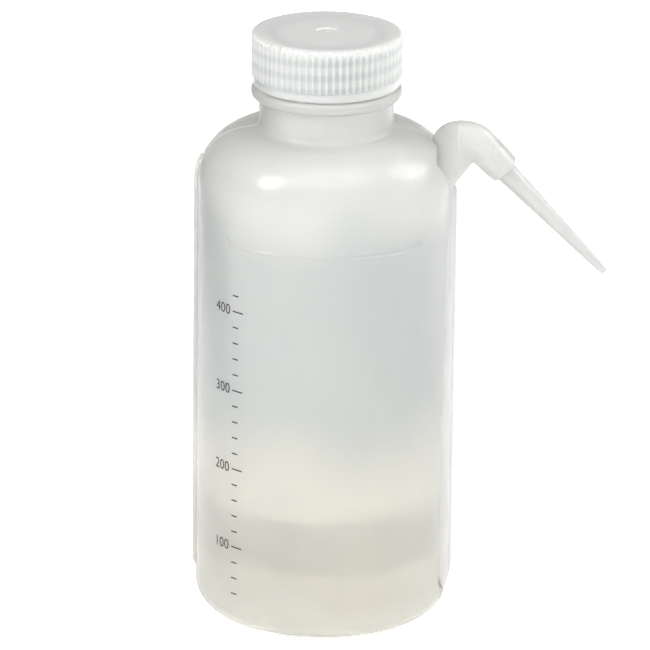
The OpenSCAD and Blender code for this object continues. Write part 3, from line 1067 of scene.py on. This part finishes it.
@dataclass
class DeliveryTube:
    """The side tube, the elbow over the shoulder and the socket that takes the nozzle."""

    shell: BottleShell
    columns: int = 96
    # Tube: how far it stands out of the body, how its foot draws in, how deep it is sunk in the pocket
    tube_r: float = 4.4
    wall: float = 1.3
    proud: float = 0.5
    foot_z: float = 4.0
    draw_z: float = 10.0
    draw_mm: float = 0.9
    sink: float = 0.4
    # Elbow: its crotch, where the tube's outer and inner side turn out to it, its widths, its fold
    crotch_out: float = 5.5
    crotch_r: float = 0.09
    lean_drop: float = 6.4
    back_lift: float = 1.6
    back_h: float = 5.8
    rise: float = 2.9
    elbow_h: float = 12.9
    elbow_w: float = 14.4
    elbow_depth: float = 9.6
    fan_end: float = 126.0
    fan_last: float = 146.0
    fan_power: float = 1.2
    drop_deg: float = 46.0
    fold_mm: float = 0.45
    fold_w: float = 0.45
    fold_x: float = 38.7
    # Socket with its groove
    socket_r: float = 5.0
    mouth_r: float = 4.55
    socket_l: float = 8.2
    bore_r: float = 3.05
    groove_mm: float = 0.16
    groove_w: float = 0.5
    groove_s: float = 1.4
    # Web: its foot, how far below the elbow it ends, its width and how deep its two edges are sunk
    web_foot_z: float = 11.0
    web_drop: float = 3.3
    web_w: float = 1.8
    web_sink: Pair = (0.65, 1.6)
    # Seam: how far before the socket and before the mouth it ends, its fade and its height
    seam_ends: Pair = (1.0, 0.5)
    seam_fade: float = 1.5
    seam_mm: float = 0.35

    def __post_init__(self) -> None:
        """Work out where the tube, the crotch and the socket's mouth are, as (x, z) points."""
        drop = np.radians(self.drop_deg)
        self.tube_x = self.shell.body_r + self.proud - self.tube_r
        top_z = self.shell.slope_z + self.rise
        self.crotch = np.array([self.shell.body_r + self.crotch_out, top_z - self.elbow_h])
        self.lean_z = self.crotch[1] - self.lean_drop
        self.along = np.array([np.cos(drop), -np.sin(drop)])
        self.across = np.array([np.sin(drop), np.cos(drop)])
        self.socket = self.crotch + self.across * self.socket_r
        self.mouth = self.socket + self.along * self.socket_l

    def stations(self) -> tuple[Array, Array, Array]:
        """Return the sections from the tube's foot to the socket's mouth.

        A section is an ellipse in a plane through Y. It runs from a point on the side of the crotch
        to a point on the far side, both in XZ, and is as deep as given in Y. Up the tube the plane
        is level, round the elbow it fans about the crotch, and along the socket it is square to the
        nozzle's axis. A short running mean along the path rounds the far side and the depth. The
        near side keeps its corners, where the tube turns out to the crotch and at the crotch.

        Returns:
            Near points, far points and depths, one row for each section.
        """
        # Up the tube, whose foot draws in with the base's edge and follows the pocket's floor
        z = np.concatenate([np.linspace(self.foot_z, 16, 26), np.linspace(18, self.lean_z - 0.4, 32)])
        proud = self.proud - self.draw_mm * smooth((self.draw_z - z) / (self.draw_z - self.foot_z))
        outer = np.minimum(self.tube_x + self.tube_r, self.shell.outline(proud, z))
        inner_side = self.tube_x - self.tube_r
        round_r = self.shell.outline(0.0, z)
        inner = np.maximum(round_r - self.shell.pocket(0 * z, round_r, z, 0.0) - self.sink, inner_side)
        near, far, depth = [np.stack([outer, z], 1)], [np.stack([inner, z], 1)], [0 * z + 2 * self.tube_r]
        # Out to the crotch
        t = np.linspace(0.0, 1, 9)[:, None]
        lean = np.array([self.tube_x + self.tube_r, self.lean_z])
        near.append(lean + (self.crotch - lean) * t)
        far.append(np.array([inner_side, self.lean_z + self.back_lift]) + np.array([0.0, self.back_h]) * t)
        depth.append(2 * self.tube_r + (self.elbow_depth - 2 * self.tube_r) * t[:, 0])
        # Round the elbow
        phi = np.linspace(self.fan_last, 90 - self.drop_deg, 56)
        ray = np.stack([np.cos(np.radians(phi)), np.sin(np.radians(phi))], 1)
        spread = np.clip((phi - phi[-1]) / (self.fan_end - phi[-1]), 0, 1) ** self.fan_power
        width = 2 * self.socket_r + (self.elbow_w - 2 * self.socket_r) * spread
        near.append(self.crotch + self.crotch_r * ray)
        far.append(self.crotch + width[:, None] * ray)
        depth.append(self.elbow_depth + 0 * phi)
        # Along the socket, with a shallow groove round its root
        s = np.linspace(0.06, 1, 18)[:, None] * self.socket_l
        r = self.socket_r + (self.mouth_r - self.socket_r) * s / self.socket_l
        r = r - self.groove_mm * np.exp(-(((s - self.groove_s) / self.groove_w) ** 2))
        centre = self.socket + self.along * s
        near.append(centre - self.across * r)
        far.append(centre + self.across * r)
        depth.append(2 * r[:, 0])
        passes = 4
        far, depth = [
            np.concatenate([self.eased(np.concatenate(part[:3]), passes), part[3]]) for part in (far, depth)
        ]
        return np.concatenate(near), far, depth

    @staticmethod
    def eased(values: Array, times: int) -> Array:
        """Take a running mean of three, with fixed ends.

        Args:
            values: Rows of numbers.
            times: How often it is done.

        Returns:
            The smoothed rows.
        """
        for _ in range(times):
            values = np.concatenate([values[:1], (values[:-2] + values[1:-1] + values[2:]) / 3, values[-1:]])
        return values

    def rings(self, near: Array, far: Array, depth: Array, inset: float) -> Array:
        """Draw ellipses between near and far points.

        On the outside a low fold runs straight up both cheeks of the elbow, in line with the tube's
        outer side. It has a bell-shaped section and stands out in Y.

        Args:
            near: Near points (x, z).
            far: Far points (x, z).
            depth: Depths in Y.
            inset: The wall that is taken off all round, or 0 on the outside.

        Returns:
            Rings of shape (section, column, 3).
        """
        t = np.linspace(0, 2 * np.pi, self.columns, endpoint=False)
        middle, width = (near + far) / 2, np.linalg.norm(far - near, axis=1)
        direction = (far - near) / width[:, None]
        least = 0.4
        a = np.maximum(width / 2 - inset, least)[:, None] * np.cos(t)
        b = np.maximum(depth / 2 - inset, least)[:, None] * np.sin(t)
        x = middle[:, :1] + a * direction[:, :1]
        z = middle[:, 1:] + a * direction[:, 1:]
        if inset == 0:
            bell = np.exp(-(((x - self.fold_x) / self.fold_w) ** 2)) * smooth((z - self.lean_z) / 3)
            b = b + self.fold_mm * bell * np.sign(np.sin(t)) * np.abs(np.sin(t)) ** 0.5
        return np.stack([x, b, z], axis=2)

    def socket_rings(self, radii: Array, back: Array) -> Array:
        """Draw rounds about the nozzle's axis.

        Args:
            radii: Their radii.
            back: How far back from the mouth each lies.

        Returns:
            Rings of shape (round, column, 3).
        """
        centre = self.mouth - back[:, None] * self.along
        near, far = centre - self.across * radii[:, None], centre + self.across * radii[:, None]
        return self.rings(near, far, 2 * radii, 0.0)

    def skin(self) -> Skin:
        """Join tube, elbow, the socket's rounded lip, its bore and the inside, in that order.

        Returns:
            One closed skin.
        """
        near, far, depth = self.stations()
        outside = self.rings(near, far, depth, 0.0)[:-1]
        lip_r = [self.mouth_r, self.mouth_r - 0.12, self.mouth_r - 0.5, self.bore_r + 0.25, self.bore_r]
        lip = self.socket_rings(np.array(lip_r), np.array([0.5, 0.12, 0.0, 0.0, 0.25]))
        bore = self.socket_rings(np.full(5, self.bore_r), np.linspace(1, 7.8, 5))
        # The inside begins above the closed foot and ends just before the socket, where the bore is
        foot_sections, socket_sections = 3, 20
        keep = slice(foot_sections, len(near) - socket_sections)
        inside = self.rings(near[keep], far[keep], depth[keep], self.wall)[::-1]
        return Skin.from_rings(np.concatenate([outside, lip, bore, inside]))

    def web(self) -> Skin:
        """Draw the thin web between the tube and its pocket's floor, with an oval section.

        Returns:
            The web, sunk into both.
        """
        z = np.linspace(self.web_foot_z, self.lean_z - self.web_drop, 40)
        inner = self.shell.pocket_x - self.web_sink[0]
        outer = self.tube_x - self.tube_r + self.web_sink[1]
        turn = np.linspace(0, 2 * np.pi, 16, endpoint=False)
        x = (inner + outer) / 2 + (outer - inner) / 2 * np.cos(turn) + 0 * z[:, None]
        y = self.web_w / 2 * np.sin(turn) + 0 * x
        return Skin.from_rings(np.stack([x, y, z[:, None] + 0 * x], axis=2))

    def seam(self) -> Skin:
        """Draw the thin seam along the socket's upper side, which rises and falls at its ends.

        Returns:
            The seam, sunk into the socket.
        """
        before, short = self.seam_ends
        s = np.linspace(-before, self.socket_l - short, 20)
        ends = smooth(np.minimum(s + before, self.socket_l - short - s) / self.seam_fade)
        lift = self.mouth_r + 0.1 + self.seam_mm * ends + (self.socket_l - s) * 0.05
        centre = self.socket + s[:, None] * self.along
        heights = np.array([-0.6, 0.0, 0.08, 0.0, -0.6])
        y = np.array([-0.3, -0.22, 0.0, 0.22, 0.3])
        x = centre[:, :1] + self.across[0] * (lift[:, None] + heights)
        z = centre[:, 1:] + self.across[1] * (lift[:, None] + heights)
        return Skin.from_rings(np.stack([x, y + 0 * x, z], axis=2))


@dataclass
class Nozzle:
    """The tapered nozzle with its plug, on the socket's axis."""

    tube: DeliveryTube
    plug_r: float = 3.0
    plug_l: float = 7.0
    root_r: float = 3.2
    tip_r: float = 1.15
    length: float = 42.9
    bore_r: float = 2.1
    tip_bore_r: float = 0.6

    def profile(self) -> Array:
        """Draw the section's outline, out along the outside and back along the bore.

        Its corners are cut off by a fraction of a millimetre.

        Returns:
            Points (radius, distance along the axis from the socket's mouth).
        """
        return path_of(
            line((self.bore_r, -self.plug_l), (self.plug_r - 0.3, -self.plug_l), 3),
            line((self.plug_r, -self.plug_l + 0.4), (self.plug_r, 0.0), 5),
            line((self.root_r - 0.15, 0.0), (self.root_r, 0.15), 2),
            line((self.root_r, 0.6), (self.tip_r + 0.02, self.length - 0.35), 40),
            line((self.tip_r - 0.08, self.length - 0.08), (self.tip_r - 0.2, self.length), 2),
            line((self.tip_bore_r, self.length), (self.bore_r, 0.0), 12),
            line((self.bore_r, -0.5), (self.bore_r, -self.plug_l + 0.2), 4),
        )

    def skin(self) -> Skin:
        """Carry the section round Z, then turn Z to the socket's axis.

        Returns:
            The nozzle's closed skin in its place.
        """
        along = np.array([self.tube.along[0], 0.0, self.tube.along[1]])
        side = np.array([0.0, 1.0, 0.0])
        turn = np.stack([np.cross(side, along), side, along], axis=1)
        mouth = np.array([self.tube.mouth[0], 0.0, self.tube.mouth[1]])
        return Skin.loop(revolved(self.profile(), 48)).moved(turn, mouth)


# ---------------------------------------------------------------- cap


@dataclass
class ScrewCap:
    """The ribbed cap with its plain skirt, its rounded top edge, its thread and its sealing ring."""

    shell: BottleShell
    cap_r: float = 22.0
    rib_h: float = 0.5
    rib_count: int = 68
    points_per_rib: int = 8
    rim_gap: float = 0.4
    skirt_h: float = 2.6
    edge_r: float = 2.0
    top_t: float = 1.8
    seal_t: float = 1.2
    seal_hole_r: float = 14.3
    gap: float = 0.3
    gate_r: float = 3.5
    gate_depth: float = 0.3
    thread_turns: float = 1.25

    def __post_init__(self) -> None:
        """Work out the cap's heights and its inner radius from the neck."""
        self.root_r = self.cap_r - self.rib_h
        self.inner_r = self.shell.finish_r + self.shell.thread_h + self.gap
        self.rim_z = self.shell.finish_z + self.rim_gap
        self.roof_z = self.shell.lip_z + self.seal_t
        self.top_z = self.roof_z + self.top_t
        self.grip_z = self.rim_z + self.skirt_h

    def profiles(self) -> tuple[Array, Array]:
        """Draw the section's outside, from the top's middle to the rim, and its inside back.

        Corners that have no arc are cut off by a fraction of a millimetre.

        Returns:
            Points (r, z) of the outside, and of the inside.
        """
        edge, r = self.edge_r, self.root_r
        outside = path_of(
            line((0.4, self.top_z - 0.5), (0.7, self.top_z - self.gate_depth), 3),
            line((1.0, self.top_z - self.gate_depth), (self.gate_r - 0.25, self.top_z - self.gate_depth), 4),
            line((self.gate_r, self.top_z), (r - edge + 0.3, self.top_z), 14),
            arc((r - edge + 0.5, self.top_z - edge), edge, 90, 14, 12),
            line((r, self.top_z - edge - 0.2), (r, self.grip_z + 0.25), 12),
            line((r, self.grip_z + 0.05), (r - 0.1, self.grip_z - 0.05), 2),
            line((r - 0.1, self.grip_z - 0.3), (r - 0.1, self.rim_z + 0.4), 4),
            arc((r - 0.5, self.rim_z + 0.4), 0.4, 0, -90, 5),
        )
        inside = path_of(
            line((r - 0.6, self.rim_z), (self.inner_r + 0.2, self.rim_z), 2),
            line((self.inner_r, self.rim_z + 0.2), (self.inner_r, self.roof_z - 0.4), 12),
            line((self.inner_r - 0.4, self.roof_z), (0.5, self.roof_z), 14),
        )
        return outside, inside

    def skin(self) -> Skin:
        """Carry the cap's section round the axis with ribs on its grip.

        The radius is the root's plus a rib's height times a flat-topped wave of the angle. The
        ribs' height falls to nothing at the skirt and where the top edge turns in.

        Returns:
            The cap's closed skin.
        """
        outside, inside = self.profiles()
        profile = np.concatenate([outside, inside])
        rings = revolved(profile, self.rib_count * self.points_per_rib)
        a = np.arctan2(rings[..., 1], rings[..., 0])
        wave = smooth(0.5 + 1.15 * np.cos(a * self.rib_count))
        r, z = profile[:, 0], profile[:, 1]
        is_side = (np.arange(len(z)) < len(outside)) * (z < self.top_z - 0.02)
        on_grip = smooth((z - self.grip_z) / 0.3) * is_side
        lift = self.rib_h * (on_grip * smooth((r - self.root_r + 1.5) / 1.5))[:, None] * wave
        reach = np.minimum(profile[:, :1] + lift, self.cap_r) / profile[:, :1]
        rings[..., :2] *= reach[..., None]
        return Skin.from_rings(rings)

    def thread(self) -> Thread:
        """Return the cap's thread, a quarter turn on and half a lead below the neck's at each angle."""
        neck = self.shell.neck_thread()
        start = neck.start_z - neck.lead / 2 + neck.lead / 4
        return Thread(self.inner_r, self.shell.finish_r + self.gap, start, 90.0, self.thread_turns)

    def seal(self) -> Skin:
        """Draw the soft ring on the neck's lip, with its cut edges slightly bevelled.

        Returns:
            The ring's closed skin.
        """
        inner, outer, low = self.seal_hole_r, self.shell.finish_r, self.shell.lip_z
        high, cut = low + self.seal_t, 0.15
        profile = path_of(
            line((inner, low + cut), (inner + cut, low), 2),
            line((outer - cut, low), (outer, low + cut), 2),
            line((outer, high - cut), (outer - cut, high), 2),
            line((inner + cut, high), (inner, high - cut), 2),
        )
        return Skin.loop(revolved(profile, 120))


# ---------------------------------------------------------------- studio


@dataclass(frozen=True)
class Softbox:
    """A soft lamp that points at the bottle."""

    name: str
    azimuth: float
    elevation: float
    distance: float
    size: Pair
    watts: float

    def place(self, target: Vector) -> None:
        """Add the lamp, turned towards the target. Azimuth 0 is the camera's side.

        Args:
            target: The point that it lights, in metres.
        """
        data = bpy.data.lights.new(self.name, "AREA")
        data.shape = "RECTANGLE"
        data.size, data.size_y = self.size
        data.energy = self.watts
        lamp = bpy.data.objects.new(self.name, data)
        a, e = np.radians(self.azimuth), np.radians(self.elevation)
        away = Vector((np.sin(a) * np.cos(e), -np.cos(a) * np.cos(e), np.sin(e)))
        lamp.location = target + away * self.distance
        lamp.rotation_euler = away.to_track_quat("Z", "Y").to_euler()
        bpy.context.scene.collection.objects.link(lamp)


@dataclass
class Studio:
    """Camera, lamps, world, floor and a black card."""

    # Camera, in millimetres, degrees and pixels
    target_z: float = 89.6
    distance: float = 2000.0
    elevation: float = 19.0
    roll: float = 0.633
    focal_px: float = 6800.0
    image_px: float = 650.0
    target_px: Pair = (324.21, 314.55)
    sensor_mm: float = 36.0
    # Strengths: the floor's glow, what the camera sees on top of it, the world's light and its gloss
    floor_glow: float = 0.42
    camera_glow: float = 0.05
    world_light: float = 0.46
    world_gloss: float = 0.25
    # Card, floor and lamps, in metres
    card_x: float = -0.26
    card_span: Pair = (0.0, 0.5)
    card_height: float = 0.36
    card_lift: float = 0.002
    floor_half: float = 6.0
    lamps: tuple[Softbox, ...] = (
        Softbox("key_left", -60, 42, 1.2, (0.12, 0.42), 7.4),
        Softbox("fill_right", 103, 36, 1.2, (0.6, 0.6), 6.8),
        Softbox("top", 10, 68, 1.2, (1.0, 1.0), 8.5),
        Softbox("front", 10, 19, 1.4, (0.7, 0.7), 3.0),
    )

    def camera(self) -> None:
        """Add the camera: far away, looking down a little, rolled a little."""
        data = bpy.data.cameras.new("camera")
        data.sensor_width = self.sensor_mm
        data.lens = self.focal_px / self.image_px * self.sensor_mm
        data.clip_start, data.clip_end = 0.1, 20.0
        e = np.radians(self.elevation)
        back = Vector((0, -np.cos(e), np.sin(e)))
        look = (-back).to_track_quat("-Z", "Y").to_matrix()
        look = look @ Matrix.Rotation(np.radians(self.roll), 3, "Z")
        target = Vector((0, 0, self.target_z * METRES_PER_MM))
        middle = self.image_px / 2
        per_px = self.distance / self.focal_px * METRES_PER_MM
        aside = Vector(((middle - self.target_px[0]) * per_px, (self.target_px[1] - middle) * per_px, 0))
        camera = bpy.data.objects.new("camera", data)
        camera.matrix_world = look.to_4x4()
        camera.location = target + back * self.distance * METRES_PER_MM + look @ aside
        bpy.context.scene.collection.objects.link(camera)
        bpy.context.scene.camera = camera

    def world(self) -> None:
        """Make the world white to the camera, soft grey as a light and darker in reflections."""
        world = bpy.data.worlds.new("studio_world")
        tree = blank_tree(world)
        rays = add_node(tree, "ShaderNodeLightPath").outputs
        dim, gloss, white = [
            add_node(tree, "ShaderNodeBackground", {"Color": linear_colour(WHITE), "Strength": strength})
            for strength in (self.world_light, self.world_gloss, 1.0)
        ]
        lit = add_node(tree, "ShaderNodeMixShader", None, {1: dim.outputs[0], 2: gloss.outputs[0]},
                       Fac=rays["Is Glossy Ray"])
        seen = add_node(tree, "ShaderNodeMixShader", None, {1: lit.outputs[0], 2: white.outputs[0]},
                        Fac=rays["Is Camera Ray"])
        add_node(tree, "ShaderNodeOutputWorld", Surface=seen.outputs["Shader"])
        bpy.context.scene.world = world

    def sheet(self, name: str, corners: list[tuple[float, float, float]]) -> tuple[bpy.types.Object, Any]:
        """Add a flat sheet with an empty material.

        Args:
            name: Its name.
            corners: Its four corners, in metres.

        Returns:
            The object and its material's node tree.
        """
        mesh = bpy.data.meshes.new(name)
        mesh.from_pydata(corners, [], [(0, 1, 2, 3)])
        material = bpy.data.materials.new(name)
        tree = blank_tree(material)
        mesh.materials.append(material)
        sheet = bpy.data.objects.new(name, mesh)
        bpy.context.scene.collection.objects.link(sheet)
        return sheet, tree

    def floor(self) -> None:
        """Add the pale floor, which shows white to the camera and keeps the shadow."""
        half = self.floor_half
        corners = [(-half, -half, 0), (half, -half, 0), (half, half, 0), (-half, half, 0)]
        floor, tree = self.sheet("floor", corners)
        rays = add_node(tree, "ShaderNodeLightPath").outputs
        glow = add_math(tree, "MULTIPLY_ADD", rays["Is Camera Ray"], self.camera_glow, self.floor_glow)
        diffuse = add_node(tree, "ShaderNodeBsdfDiffuse", {"Color": linear_colour("#F5F5F5")})
        light = add_node(tree, "ShaderNodeEmission", {"Color": linear_colour(WHITE)}, Strength=glow)
        both = add_node(tree, "ShaderNodeAddShader", None, {0: diffuse.outputs[0], 1: light.outputs[0]})
        add_node(tree, "ShaderNodeOutputMaterial", Surface=both.outputs["Shader"])

    def card(self) -> None:
        """Add the black card that darkens the bottle's left edge, seen only in and through the plastic."""
        x, near, far, low, high = self.card_x, *self.card_span, self.card_lift, self.card_height
        corners = [(x, near, low), (x, far, low), (x, far, high), (x, near, high)]
        card, tree = self.sheet("black_card", corners)
        matt = add_node(tree, "ShaderNodeBsdfDiffuse", {"Color": linear_colour("#202020")})
        add_node(tree, "ShaderNodeOutputMaterial", Surface=matt.outputs["BSDF"])
        card.visible_camera = card.visible_shadow = False

    def build(self) -> None:
        """Add everything that isn't the bottle."""
        self.camera()
        self.world()
        self.floor()
        self.card()
        for lamp in self.lamps:
            lamp.place(Vector((0, 0, self.target_z * METRES_PER_MM)))
        bpy.context.scene.view_settings.view_transform = "Standard"


def main() -> None:
    """Build and dress the bottle, then the studio round it."""
    logging.basicConfig(level=logging.INFO, format="%(message)s")
    Studio().build()
    shell = BottleShell()
    tube = DeliveryTube(shell)
    cap = ScrewCap(shell)
    blown = {
        "neck_thread": (shell.neck_thread().skin(), BLOWN_LDPE),
        "delivery_tube": (tube.skin(), TUBE_LDPE),
        "tube_web": (tube.web(), TUBE_LDPE),
        "tube_fin": (TubeFin(shell).skin(), TUBE_LDPE),
        "socket_seam": (tube.seam(), TUBE_LDPE),
        "base_weld": (shell.base_weld(), BLOWN_LDPE),
    }
    body = make_piece("bottle_shell", shell.skin(), BLOWN_LDPE, "bottle")
    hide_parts("bottle")
    for name, (skin, finish) in blown.items():
        make_piece(name, skin, finish, "bottle")
    make_piece("printed_scale", PrintedScale(shell).skin(), INK, "bottle")
    lid = make_piece("screw_cap", cap.skin(), INJECTED_PP, "cap")
    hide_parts("cap")
    make_piece("cap_thread", cap.thread().skin(), INJECTED_PP, "cap")
    ring = make_piece("sealing_ring", cap.seal(), FOAM, "seal")
    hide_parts("seal_ring")
    spout = make_piece("tapered_nozzle", Nozzle(tube).skin(), INJECTED_LDPE, "nozzle")
    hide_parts("nozzle")


if __name__ == "__main__":
    main()
